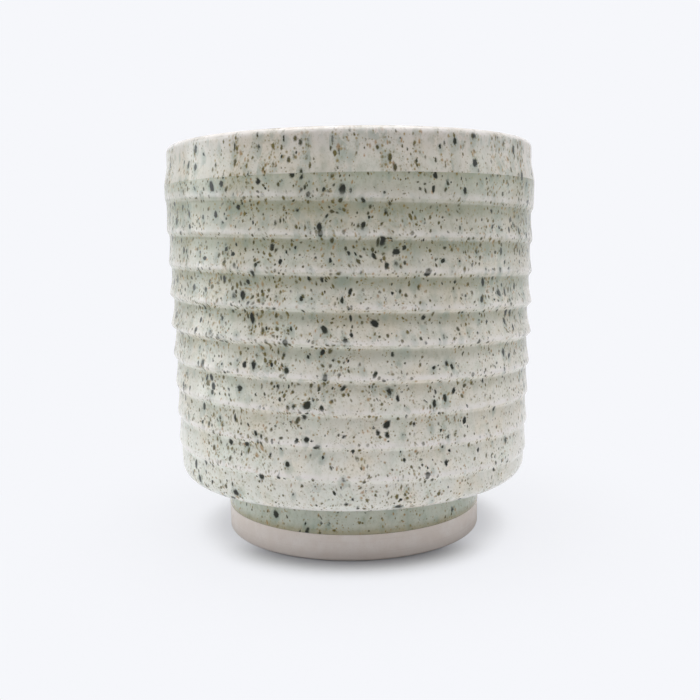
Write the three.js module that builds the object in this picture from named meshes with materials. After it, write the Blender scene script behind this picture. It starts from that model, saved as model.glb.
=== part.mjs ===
// Hand-thrown tea bowl: a ridged stoneware cup on a turned foot, with its glaze coats as separate shells.
// Millimetres, +Z up. The origin is the centre of the foot's bottom face, and -Y is the front.
import * as THREE from 'three';
import { mergeGeometries, mergeVertices } from 'three/addons/utils/BufferGeometryUtils.js';

// Overall sizes, on the glazed surface
const BOWL_HEIGHT = 90;
const RIM_RADIUS = 42.4;
const SHOULDER_FLARE = 0.75;
const WALL_TAPER = 1.9;
const CORNER_RADIUS = 3.6;

// Rim band: the height dipped a second time, and the taper in from the shoulder
const BAND_DEPTH = 8.8;
const SHOULDER_TAPER = 4.5;
const LIP_RADIUS = 1.4;

// Inside of the bowl: the wall's thickness over its lower corner, glaze included, and the floor's
const BASE_WALL = 5.2;
const INSIDE_CORNER_RADIUS = 10;
const FLOOR_THICKNESS = 6;

// Foot
const FOOT_HEIGHT = 13.6;
const FOOT_RADIUS = 30.4;
const FOOT_WIDTH = 5.4;
const FOOT_EDGE_RADIUS = 0.6;
const BARE_CLAY_HEIGHT = 5.8;
const FOOT_GLAZE_STEP = 0.1;

// Glaze thickness, and the clearance between a coat and what it lies on or meets
const GLAZE_COAT = 0.4;
const COAT_GAP = 0.05;

// Throwing ridges: one spiral, falling to the right, that closes up towards the base. Its groove starts at
// the back and is full at the front, and both places are in turns from the front.
const FIRST_CREST_DROP = 13.1;
const TOP_PITCH = 7.3;
const BASE_PITCH = 6.6;
const GROOVE_START = -0.6;
const GROOVE_FULL = 0.15;
const RIDGE_DEPTH = 0.55;
const RIDGE_FADE = 4;
const DEEP_RIDGE_EXTRA = 0.6;
const DEEP_RIDGE_HEIGHT = 50;
const DEEP_RIDGE_SPREAD = 9;
const CREST_SWELL = 0.35;
const UNDERCUT_PHASE = 0.18;
const FLARE_POWER = 1.7;

// Facets
const SEGMENTS = 36;
const ROWS_PER_TURN = 4;
const ROW_CLEARANCE = 0.5;
const LIP_STEPS = 6;
const CORNER_STEPS = 5;
const INSIDE_CORNER_STEPS = 6;
const EDGE_STEPS = 3;
const MERGE_TOLERANCE = 1e-4;

// Heights and radii that follow from the sizes above
const SHOULDER_RADIUS = RIM_RADIUS + SHOULDER_FLARE;
const BASE_RADIUS = SHOULDER_RADIUS - WALL_TAPER;
const INSIDE_BASE_RADIUS = BASE_RADIUS - BASE_WALL;
const DIP_LINE = BOWL_HEIGHT - BAND_DEPTH;
const RIDGE_BASE = FOOT_HEIGHT + CORNER_RADIUS;
const FIRST_CREST = BOWL_HEIGHT - FIRST_CREST_DROP;
const CLAY_INSET = GLAZE_COAT + COAT_GAP;
const CLAY_BASE = FOOT_HEIGHT + CLAY_INSET;
const FLOOR_TOP = FOOT_HEIGHT + FLOOR_THICKNESS;
const LIP_CENTRE_RADIUS = RIM_RADIUS - LIP_RADIUS;
const LIP_CENTRE_HEIGHT = BOWL_HEIGHT - LIP_RADIUS;
const INSIDE_CORNER_TOP = FLOOR_TOP + INSIDE_CORNER_RADIUS;
const FOOT_GLAZE_RADIUS = FOOT_RADIUS + FOOT_GLAZE_STEP;
const FOOT_SEAT_RADIUS = FOOT_GLAZE_RADIUS - CLAY_INSET;

const point = (radius, height) => new THREE.Vector2(radius, height);

// Points on a round stretch of a profile, from one angle to another, both in degrees.
function arc(centreRadius, centreHeight, radius, fromDegrees, toDegrees, steps) {
  const points = [];
  for (let step = 0; step <= steps; step += 1) {
    const angle = THREE.MathUtils.degToRad(THREE.MathUtils.lerp(fromDegrees, toDegrees, step / steps));
    points.push(point(centreRadius + radius * Math.cos(angle), centreHeight + radius * Math.sin(angle)));
  }
  return points;
}

// The spiral's turns below its first crest at the front, as a function of height, and the reverse.
const SPIRAL_RATE = 1 / TOP_PITCH;
const SPIRAL_GAIN = (1 / BASE_PITCH - 1 / TOP_PITCH) / (2 * (FIRST_CREST - RIDGE_BASE));

function spiralTurns(height) {
  const drop = FIRST_CREST - height;
  return SPIRAL_RATE * drop + SPIRAL_GAIN * drop * drop;
}

function spiralHeight(turns) {
  return FIRST_CREST - (2 * turns) / (SPIRAL_RATE + Math.sqrt(SPIRAL_RATE ** 2 + 4 * SPIRAL_GAIN * turns));
}

// How near a height is to the deepest ridges, from 0 to 1.
const deepRidge = (height) => Math.exp(-(((height - DEEP_RIDGE_HEIGHT) / DEEP_RIDGE_SPREAD) ** 2));

// A ridge's section: a quick step in under the crest, then a hollow flare out to the next crest.
function ridgeRise(turns) {
  const phase = turns - Math.floor(turns);
  if (phase < UNDERCUT_PHASE) {
    return 1 - phase / UNDERCUT_PHASE;
  }
  return ((phase - UNDERCUT_PHASE) / (1 - UNDERCUT_PHASE)) ** FLARE_POWER;
}

// The ridged wall's radius, at a place some turns round the bowl and some turns below the first crest.
function wallRadius(height, turn, turns) {
  const share = (height - RIDGE_BASE) / (DIP_LINE - RIDGE_BASE);
  const crestLine = THREE.MathUtils.lerp(BASE_RADIUS + RIDGE_DEPTH, SHOULDER_RADIUS, share);
  const deep = deepRidge(height);
  const strength = THREE.MathUtils.smoothstep(Math.floor(turns) + turn, GROOVE_START, GROOVE_FULL);
  const depth = (RIDGE_DEPTH + DEEP_RIDGE_EXTRA * deep) * strength;
  const rise = ridgeRise(turns) * THREE.MathUtils.smoothstep(height - RIDGE_BASE, 0, RIDGE_FADE);
  return crestLine + CREST_SWELL * deep - depth * (1 - rise);
}

// One upright line of wall points from the dip line to the lower corner; rows follow the spiral.
function ridgedColumn(turn, inset) {
  const topRow = (spiralTurns(DIP_LINE) - turn) * ROWS_PER_TURN;
  const baseRow = (spiralTurns(RIDGE_BASE) - turn) * ROWS_PER_TURN;
  const column = [{ row: topRow, radius: SHOULDER_RADIUS - inset, height: DIP_LINE }];
  for (let row = Math.ceil(topRow + ROW_CLEARANCE); row < baseRow - ROW_CLEARANCE; row += 1) {
    const height = spiralHeight(row / ROWS_PER_TURN + turn);
    column.push({ row, radius: wallRadius(height, turn, row / ROWS_PER_TURN) - inset, height });
  }
  column.push({ row: baseRow, radius: BASE_RADIUS - inset, height: RIDGE_BASE });
  return column;
}

// The ridged stretch of wall as an open surface, facing out or in, at a depth below the glazed surface.
function ridgedSurface(inset, facesOut) {
  const columns = [];
  for (let column = 0; column < SEGMENTS; column += 1) {
    columns.push(ridgedColumn(column / SEGMENTS, inset));
  }
  const positions = [];
  const addVertex = (columnIndex, vertex) => {
    const angle = ((columnIndex % SEGMENTS) / SEGMENTS) * Math.PI * 2;
    positions.push(vertex.radius * Math.sin(angle), vertex.height, vertex.radius * Math.cos(angle));
  };
  const addTriangle = (first, second, third) => {
    const corners = facesOut ? [first, second, third] : [first, third, second];
    corners.forEach((corner) => addVertex(corner.columnIndex, corner.vertex));
  };
  for (let columnIndex = 0; columnIndex < SEGMENTS; columnIndex += 1) {
    const nextIndex = columnIndex + 1;
    const left = columns[columnIndex];
    const right = columns[nextIndex % SEGMENTS];
    const seamRows = nextIndex === SEGMENTS ? ROWS_PER_TURN : 0;
    const leftCorner = (index) => ({ columnIndex, vertex: left[index] });
    const rightCorner = (index) => ({ columnIndex: nextIndex, vertex: right[index] });
    let leftIndex = 0;
    let rightIndex = 0;
    while (leftIndex < left.length - 1 || rightIndex < right.length - 1) {
      const nextLeft = leftIndex < left.length - 1 ? left[leftIndex + 1].row : Infinity;
      const nextRight = rightIndex < right.length - 1 ? right[rightIndex + 1].row - seamRows : Infinity;
      if (nextLeft <= nextRight) {
        addTriangle(leftCorner(leftIndex), leftCorner(leftIndex + 1), rightCorner(rightIndex));
        leftIndex += 1;
      } else {
        addTriangle(leftCorner(leftIndex), rightCorner(rightIndex + 1), rightCorner(rightIndex));
        rightIndex += 1;
      }
    }
  }
  const surface = new THREE.BufferGeometry();
  surface.setAttribute('position', new THREE.Float32BufferAttribute(positions, 3));
  return surface;
}

// A plain turned stretch, as an open surface or a closed ring.
function turnedSurface(profile) {
  const lathe = new THREE.LatheGeometry(profile, SEGMENTS).toNonIndexed();
  lathe.deleteAttribute('normal');
  lathe.deleteAttribute('uv');
  return lathe;
}

// Joins surfaces along their shared circles into one closed body, turned from the lathe's +Y to +Z up.
function closedBody(surfaces) {
  const body = mergeVertices(mergeGeometries(surfaces), MERGE_TOLERANCE);
  body.rotateX(Math.PI / 2);
  body.computeVertexNormals();
  return body;
}

const closedRing = (profile) => closedBody([turnedSurface([...profile, profile[0]])]);

// Profile stretches, each at a depth below the glazed surface. They run up the outside and down the inside.
const lowerCorner = (inset) =>
  arc(BASE_RADIUS - CORNER_RADIUS, RIDGE_BASE, CORNER_RADIUS - inset, -90, 0, CORNER_STEPS);

const lip = (inset) => [
  point(RIM_RADIUS - inset, DIP_LINE + SHOULDER_TAPER),
  ...arc(LIP_CENTRE_RADIUS, LIP_CENTRE_HEIGHT, LIP_RADIUS - inset, 0, 180, LIP_STEPS),
];

const insideCorner = (inset) =>
  arc(
    INSIDE_BASE_RADIUS - INSIDE_CORNER_RADIUS,
    INSIDE_CORNER_TOP,
    INSIDE_CORNER_RADIUS + inset,
    0,
    -90,
    INSIDE_CORNER_STEPS,
  );

// Radius of the inside wall, a straight line from the lip's centre height down to the inside corner.
function insideRadius(height) {
  const share = (height - INSIDE_CORNER_TOP) / (LIP_CENTRE_HEIGHT - INSIDE_CORNER_TOP);
  return THREE.MathUtils.lerp(INSIDE_BASE_RADIUS, LIP_CENTRE_RADIUS - LIP_RADIUS, share);
}

function thrownBody() {
  const base = turnedSurface([point(0, CLAY_BASE), ...lowerCorner(CLAY_INSET)]);
  const wall = ridgedSurface(CLAY_INSET, true);
  const lipAndInside = turnedSurface([
    point(SHOULDER_RADIUS - CLAY_INSET, DIP_LINE),
    ...lip(CLAY_INSET),
    ...insideCorner(CLAY_INSET),
    point(0, FLOOR_TOP - CLAY_INSET),
  ]);
  return closedBody([base, wall, lipAndInside]);
}

function outerGlaze() {
  const topEdge = turnedSurface([
    point(SHOULDER_RADIUS, DIP_LINE),
    point(SHOULDER_RADIUS - GLAZE_COAT, DIP_LINE),
  ]);
  const footEdgeRadius = FOOT_SEAT_RADIUS + COAT_GAP;
  const underside = turnedSurface([
    ...lowerCorner(GLAZE_COAT).reverse(),
    point(footEdgeRadius, FOOT_HEIGHT + GLAZE_COAT),
    point(footEdgeRadius, FOOT_HEIGHT),
    ...lowerCorner(0),
  ]);
  return closedBody([ridgedSurface(0, true), ridgedSurface(GLAZE_COAT, false), topEdge, underside]);
}

function rimGlaze() {
  const bandBase = DIP_LINE + COAT_GAP;
  const coat = (inset) => [
    point(SHOULDER_RADIUS - inset, bandBase),
    ...lip(inset),
    point(insideRadius(bandBase) + inset, bandBase),
  ];
  return closedRing([...coat(0), ...coat(GLAZE_COAT).reverse()]);
}

function linerGlaze() {
  const inner = [point(insideRadius(DIP_LINE), DIP_LINE), ...insideCorner(0), point(0, FLOOR_TOP)];
  const outer = [
    point(0, FLOOR_TOP - GLAZE_COAT),
    ...insideCorner(GLAZE_COAT).reverse(),
    point(insideRadius(DIP_LINE) + GLAZE_COAT, DIP_LINE),
  ];
  return closedBody([turnedSurface([...outer, ...inner])]);
}

function footRing() {
  const innerRadius = FOOT_RADIUS - FOOT_WIDTH;
  return closedRing([
    ...arc(innerRadius + FOOT_EDGE_RADIUS, FOOT_EDGE_RADIUS, FOOT_EDGE_RADIUS, 180, 270, EDGE_STEPS),
    ...arc(FOOT_RADIUS - FOOT_EDGE_RADIUS, FOOT_EDGE_RADIUS, FOOT_EDGE_RADIUS, -90, 0, EDGE_STEPS),
    point(FOOT_RADIUS, BARE_CLAY_HEIGHT),
    point(FOOT_SEAT_RADIUS, BARE_CLAY_HEIGHT),
    point(FOOT_SEAT_RADIUS, CLAY_BASE),
    point(innerRadius, CLAY_BASE),
  ]);
}

function footGlaze() {
  const low = BARE_CLAY_HEIGHT + COAT_GAP;
  const high = FOOT_HEIGHT - COAT_GAP;
  return closedRing([
    point(FOOT_SEAT_RADIUS + COAT_GAP, low),
    point(FOOT_GLAZE_RADIUS, low),
    point(FOOT_GLAZE_RADIUS, high),
    point(FOOT_SEAT_RADIUS + COAT_GAP, high),
  ]);
}

const clay = (color) => new THREE.MeshStandardMaterial({ color, roughness: 0.85, metalness: 0 });
const glaze = (color) => new THREE.MeshStandardMaterial({ color, roughness: 0.25, metalness: 0 });

const PIECES = [
  ['thrown_body', thrownBody, clay('#c4bab4')],
  ['foot_ring', footRing, clay('#beb4ae')],
  ['outer_glaze', outerGlaze, glaze('#c3c3b6')],
  ['rim_glaze', rimGlaze, glaze('#cbc5bc')],
  ['liner_glaze', linerGlaze, glaze('#c6c6ba')],
  ['foot_glaze', footGlaze, glaze('#a3a79a')],
];

const teaBowl = new THREE.Group();
for (const [name, makeGeometry, material] of PIECES) {
  const piece = new THREE.Mesh(makeGeometry(), material);
  piece.name = name;
  teaBowl.add(piece);
}

export default teaBowl;
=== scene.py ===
"""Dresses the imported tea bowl: its thrown and glazed pieces, their finishes, and a plain studio."""

import logging
import math
from abc import ABC, abstractmethod
from dataclasses import asdict, dataclass, fields, replace
from enum import Enum
from typing import Any, ClassVar, Iterable, Optional

import bpy
import numpy as np
from mathutils import Matrix, Vector


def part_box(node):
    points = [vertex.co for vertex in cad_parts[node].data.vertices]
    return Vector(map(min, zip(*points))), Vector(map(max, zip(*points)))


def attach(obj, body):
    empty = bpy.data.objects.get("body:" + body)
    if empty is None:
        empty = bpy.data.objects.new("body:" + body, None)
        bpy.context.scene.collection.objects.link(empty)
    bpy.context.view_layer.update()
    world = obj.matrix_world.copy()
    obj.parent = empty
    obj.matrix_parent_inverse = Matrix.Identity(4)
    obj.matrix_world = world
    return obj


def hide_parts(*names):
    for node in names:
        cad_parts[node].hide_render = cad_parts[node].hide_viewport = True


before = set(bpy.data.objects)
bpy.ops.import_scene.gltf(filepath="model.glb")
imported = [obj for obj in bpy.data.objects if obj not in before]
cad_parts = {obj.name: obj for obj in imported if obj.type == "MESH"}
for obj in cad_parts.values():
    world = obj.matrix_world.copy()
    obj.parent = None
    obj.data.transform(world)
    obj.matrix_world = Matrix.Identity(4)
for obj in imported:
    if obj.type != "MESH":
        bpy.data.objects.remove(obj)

LOG = logging.getLogger("tea_bowl")
MM = 0.001
BODY = "root"
CREST = "crest"
DAYLIGHT = (0.92, 0.97, 1.0)

Colour = tuple[float, float, float, float]
Point = tuple[float, float]
Span = tuple[float, float]
Profile = list[Point]
Socket = bpy.types.NodeSocket


def srgb(*levels: int) -> Colour:
    """Turns a screen colour, three levels up to 255, into the linear values that shaders use."""
    shares = [level / 255 for level in levels]
    return (*(s / 12.92 if s <= 0.04045 else ((s + 0.055) / 1.055) ** 2.4 for s in shares), 1.0)


class NodeSketch:
    """Adds nodes to a tree. A value that its methods take is a plain one, or another node's output."""

    def __init__(self, tree: bpy.types.NodeTree) -> None:
        """Keeps the tree that nodes are added to."""
        self.tree = tree

    def feed(self, node: bpy.types.Node, inputs: dict[Any, Any]) -> None:
        """Links a node's inputs to other nodes' outputs, or sets their own values.

        Args:
            node: The node.
            inputs: Values for its inputs, by name or index.
        """
        for key, value in inputs.items():
            if isinstance(value, Socket):
                self.tree.links.new(value, node.inputs[key])
            else:
                node.inputs[key].default_value = value

    def add(self, kind: str, inputs: Optional[dict[Any, Any]] = None, **settings: Any) -> bpy.types.Node:
        """Adds one node.

        Args:
            kind: The node's type name.
            inputs: Values for its inputs, by name or index.
            **settings: Properties of the node itself.

        Returns:
            The new node.
        """
        node = self.tree.nodes.new(kind)
        for name, value in settings.items():
            setattr(node, name, value)
        self.feed(node, inputs or {})
        return node

    def math(self, operation: str, *values: Any, clamp: bool = False) -> Socket:
        """Adds one Math node and gives its result, held between 0 and 1 where it is clamped."""
        node = self.add("ShaderNodeMath", dict(enumerate(values)), operation=operation, use_clamp=clamp)
        return node.outputs[0]

    def vector(self, operation: str, *values: Any) -> Socket:
        """Adds one Vector Math node and gives its vector."""
        return self.add("ShaderNodeVectorMath", dict(enumerate(values)), operation=operation).outputs[0]

    def smoothstep(self, value: Any, low: Any, high: Any, start: Any = 0.0, end: Any = 1.0) -> Socket:
        """Eases from the level start, where the value is low, to the level end, where it is high."""
        inputs = {"Value": value, "From Min": low, "From Max": high, "To Min": start, "To Max": end}
        return self.add("ShaderNodeMapRange", inputs, interpolation_type="SMOOTHSTEP").outputs[0]

    def noise(self, place: Any, scale: float, detail: float, roughness: float = 0.5) -> bpy.types.Node:
        """Adds cloudy noise with some finer layers, the detail, whose strength is the roughness."""
        inputs = {"Vector": place, "Scale": scale, "Detail": detail, "Roughness": roughness}
        return self.add("ShaderNodeTexNoise", inputs)

    def stray(self, place: Any, scale: float, reach: float) -> Socket:
        """Moves a place to and fro by slow noise, over the reach in all."""
        swing = self.vector("SUBTRACT", self.noise(place, scale, 1.0).outputs["Color"], (0.5, 0.5, 0.5))
        return self.vector("ADD", place, self.vector("MULTIPLY", swing, (reach, reach, reach)))

    def blend(self, share: Any, first: Any, second: Any, mode: str = "MIX") -> Socket:
        """Lays a share of the second colour over the first."""
        node = self.add("ShaderNodeMix", {0: share, 6: first, 7: second}, data_type="RGBA", blend_type=mode)
        return node.outputs[2]


class MaterialSketch(NodeSketch):
    """A new material with one Principled shader, and nodes that measure the bowl in millimetres.

    Attributes:
        wall: Heights of the wall's foot and shoulder, between which its finish changes.
    """

    wall: Span = (18.0, 74.0)

    def __init__(self, name: str) -> None:
        """Makes the material and clears its tree down to a shader and an output.

        Args:
            name: The material's name.
        """
        self.material = bpy.data.materials.new(name)
        self.material.use_nodes = True
        super().__init__(self.material.node_tree)
        self.tree.nodes.clear()
        self.shader = self.add("ShaderNodeBsdfPrincipled")
        self.output = self.add("ShaderNodeOutputMaterial", {"Surface": self.shader.outputs[0]})
        metres = self.add("ShaderNodeTexCoord").outputs["Object"]
        self.place = self.vector("MULTIPLY", metres, (1 / MM, 1 / MM, 1 / MM))
        self.axes = self.add("ShaderNodeSeparateXYZ", {0: self.place}).outputs

    def by_height(self, low: float, high: float) -> Socket:
        """Eases from one level at the foot of the wall to another at its shoulder."""
        return self.smoothstep(self.axes[2], *self.wall, low, high)

    def bump(self, height: Any, strength: float, depth: float) -> Socket:
        """Makes a fine relief and gives the surface's normal. Its depth is in metres."""
        inputs = {"Height": height, "Strength": strength, "Distance": depth}
        return self.add("ShaderNodeBump", inputs).outputs[0]


@dataclass(frozen=True)
class Clouding:
    """A cloudy pattern in a surface, and how much of it shows.

    Attributes:
        scale: Clouds for each millimetre.
        low: Level of the clouds at which the pattern starts.
        high: Level at which it is full.
        full: How much shows where it is full.
        start: How much shows where it hasn't started.
        detail: How many finer layers the clouds have.
        roughness: How strong these are.
        across: Scale across the bowl's axis.
        upright: Scale along it. A small one draws the clouds out upwards.
    """

    scale: float
    low: float = 0.0
    high: float = 1.0
    full: float = 1.0
    start: float = 0.0
    detail: float = 2.0
    roughness: float = 0.5
    across: float = 1.0
    upright: float = 1.0

    def level(self, sketch: MaterialSketch) -> Socket:
        """Gives the clouds' own level, from 0 to 1."""
        place = sketch.vector("MULTIPLY", sketch.place, (self.across, self.across, self.upright))
        return sketch.noise(place, self.scale, self.detail, self.roughness).outputs["Fac"]

    def share(self, sketch: MaterialSketch) -> Socket:
        """Gives how much of the pattern shows."""
        return sketch.smoothstep(self.level(sketch), self.low, self.high, self.start, self.full)


@dataclass(frozen=True)
class Stain:
    """A tint that clouds the glaze, where a pattern shows."""

    pattern: Clouding
    tint: Colour

    def draw(self, sketch: MaterialSketch, colour: Any) -> Socket:
        """Multiplies a colour by the tint."""
        return sketch.blend(self.pattern.share(sketch), colour, self.tint, "MULTIPLY")


@dataclass(frozen=True)
class HeightTint:
    """A tint that grows with height, up or down, until it reaches an edge.

    Attributes:
        start: Height in millimetres at which the tint begins.
        end: Height at which it is full.
        share: How much it covers there.
        tone: The tint.
    """

    start: float
    end: float
    share: float
    tone: Colour

    def draw(self, sketch: MaterialSketch, colour: Any) -> Socket:
        """Lays the tint over a colour."""
        cover = sketch.smoothstep(sketch.axes[2], self.start, self.end, 0.0, self.share)
        return sketch.blend(cover, colour, self.tone)


@dataclass(frozen=True)
class SpeckLayer:
    """One size of iron speck in the glaze. Lengths are in millimetres.

    Attributes:
        spacing: Distance between neighbouring seeds.
        reach: Largest radius of a speck.
        smallest: Smallest share of that radius.
        presence: Share of the seeds that show.
        stretch: How much taller than wide a speck is.
        ragged: How far its outline wanders.
        tones: Two colours that specks vary between.
        strength: How much of the glaze behind it a speck hides.
        softness: Share of the radius over which its edge fades.
        shift: Where the layer's seeds lie, so that no two layers agree.
        climb: How much more of the seeds show high up than low down.
        drop: How far below its seed a speck lies.
        outline_swings: How often an outline wanders between two seeds.
        small_bias: How far small specks outnumber large ones.
        crowd_growth: How much of a speck's size follows the density round it.
        climb_top: Share of the climb that is gained at the top.
        shift_axes: How far the shift goes along each axis.
    """

    spacing: float
    reach: float
    smallest: float
    presence: float
    stretch: float
    ragged: float
    tones: tuple[Colour, Colour]
    strength: float
    softness: float
    shift: float
    climb: float = 0.0
    drop: float = 0.0
    outline_swings: float = 3.4
    small_bias: float = 1.6
    crowd_growth: float = 0.35
    climb_top: float = 0.7
    shift_axes: tuple[float, float, float] = (1.0, 1.7, 0.6)

    def draw(self, sketch: MaterialSketch, place: Any, density: Any) -> tuple[Socket, Socket]:
        """Adds the layer's nodes.

        Args:
            sketch: The material that the layer belongs to.
            place: Where on the bowl.
            density: A factor on the share of seeds that show.

        Returns:
            The layer's cover, from 0 to 1, and its colour.
        """
        place = sketch.stray(place, self.outline_swings / self.spacing, self.ragged)
        x, y, z = (self.shift * axis for axis in self.shift_axes)
        place = sketch.vector("ADD", place, (x, y, z + self.drop))
        place = sketch.vector("MULTIPLY", place, (1.0, 1.0, 1 / self.stretch))
        seeds = sketch.add("ShaderNodeTexVoronoi", {"Vector": place, "Scale": 1 / self.spacing}).outputs
        size, luck, hue = sketch.add("ShaderNodeSeparateColor", {0: seeds["Color"]}).outputs
        growth = sketch.math("POWER", size, self.small_bias)
        share = sketch.math("MULTIPLY_ADD", growth, 1 - self.smallest, self.smallest)
        crowd = sketch.math("MULTIPLY_ADD", density, self.crowd_growth, 1 - self.crowd_growth)
        radius = sketch.math("MULTIPLY", sketch.math("MULTIPLY", share, crowd), self.reach / self.spacing)
        inner = sketch.math("MULTIPLY", radius, 1 - self.softness)
        cover = sketch.smoothstep(seeds["Distance"], inner, radius, 1.0, 0.0)
        rise = sketch.by_height(1 - self.climb, 1 + self.climb * self.climb_top)
        limit = sketch.math("MULTIPLY", sketch.math("MULTIPLY", density, rise), self.presence)
        cover = sketch.math("MULTIPLY", cover, sketch.math("LESS_THAN", luck, limit))
        return sketch.math("MULTIPLY", cover, self.strength), sketch.blend(hue, *self.tones)


LEAF_TINT = srgb(244, 254, 252)
BLEED_TONE = srgb(124, 146, 134)

BLACK_SPECKS = SpeckLayer(
    spacing=2.0, reach=0.74, smallest=0.32, presence=0.8, stretch=1.5, ragged=0.45,
    tones=(srgb(17, 19, 10), srgb(38, 41, 27)), strength=1.0, softness=0.48, shift=3.1, climb=0.55)
BLEED_HALOS = replace(BLACK_SPECKS, reach=2.3, presence=0.35, softness=1.0, strength=0.45, drop=0.5,
                      tones=(BLEED_TONE, BLEED_TONE))
GREEN_SPECKS = SpeckLayer(
    spacing=1.0, reach=0.49, smallest=0.4, presence=0.58, stretch=1.35, ragged=0.3,
    tones=(srgb(36, 38, 10), srgb(103, 90, 22)), strength=0.95, softness=0.65, shift=17.3, climb=0.52)
OLIVE_SPECKS = SpeckLayer(
    spacing=0.72, reach=0.34, smallest=0.45, presence=0.5, stretch=1.25, ragged=0.15,
    tones=(srgb(95, 86, 14), srgb(155, 126, 40)), strength=0.75, softness=0.75, shift=41.9)
RUST_SPECKS = SpeckLayer(
    spacing=1.2, reach=0.38, smallest=0.45, presence=0.55, stretch=1.4, ragged=0.25,
    tones=(srgb(142, 100, 34), srgb(182, 138, 70)), strength=0.7, softness=0.75, shift=29.5)
DUST_SPECKS = SpeckLayer(
    spacing=0.46, reach=0.25, smallest=0.55, presence=0.42, stretch=1.2, ragged=0.08,
    tones=(srgb(131, 126, 72), srgb(180, 156, 98)), strength=0.42, softness=0.9, shift=57.1)

BLUSH_CLOUDS = Clouding(scale=0.13, low=0.48, high=0.68, full=0.8, detail=3.0, roughness=0.55)
LEAF_CLOUDS = replace(BLUSH_CLOUDS, high=0.3, full=0.4)
GREEN_MOTTLE = Clouding(scale=0.55, low=0.46, high=0.7, full=0.42, detail=4.0, roughness=0.65, upright=0.7)
OLIVE_STIPPLE = Clouding(scale=1.5, low=0.5, high=0.72, full=0.4, detail=3.0, roughness=0.7, upright=0.75)
THIN_STREAKS = Clouding(scale=0.25, low=0.35, high=0.62, start=0.4, full=0.9)
SPECK_DRIFTS = Clouding(scale=1 / 7, low=0.3, high=0.7, start=0.6, full=1.4, upright=0.65)
BLEED_RUNS = Clouding(scale=0.2, low=0.52, high=0.75, full=0.4, detail=3.0, roughness=0.55, upright=0.3)
GLAZE_SKIN = Clouding(scale=1.6, detail=3.0)


class GlazeZone(Enum):
    """Where on the bowl a glaze lies."""

    WALL = "wall"
    RIM = "rim"
    LINER = "liner"
    FOOT = "foot"


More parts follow.
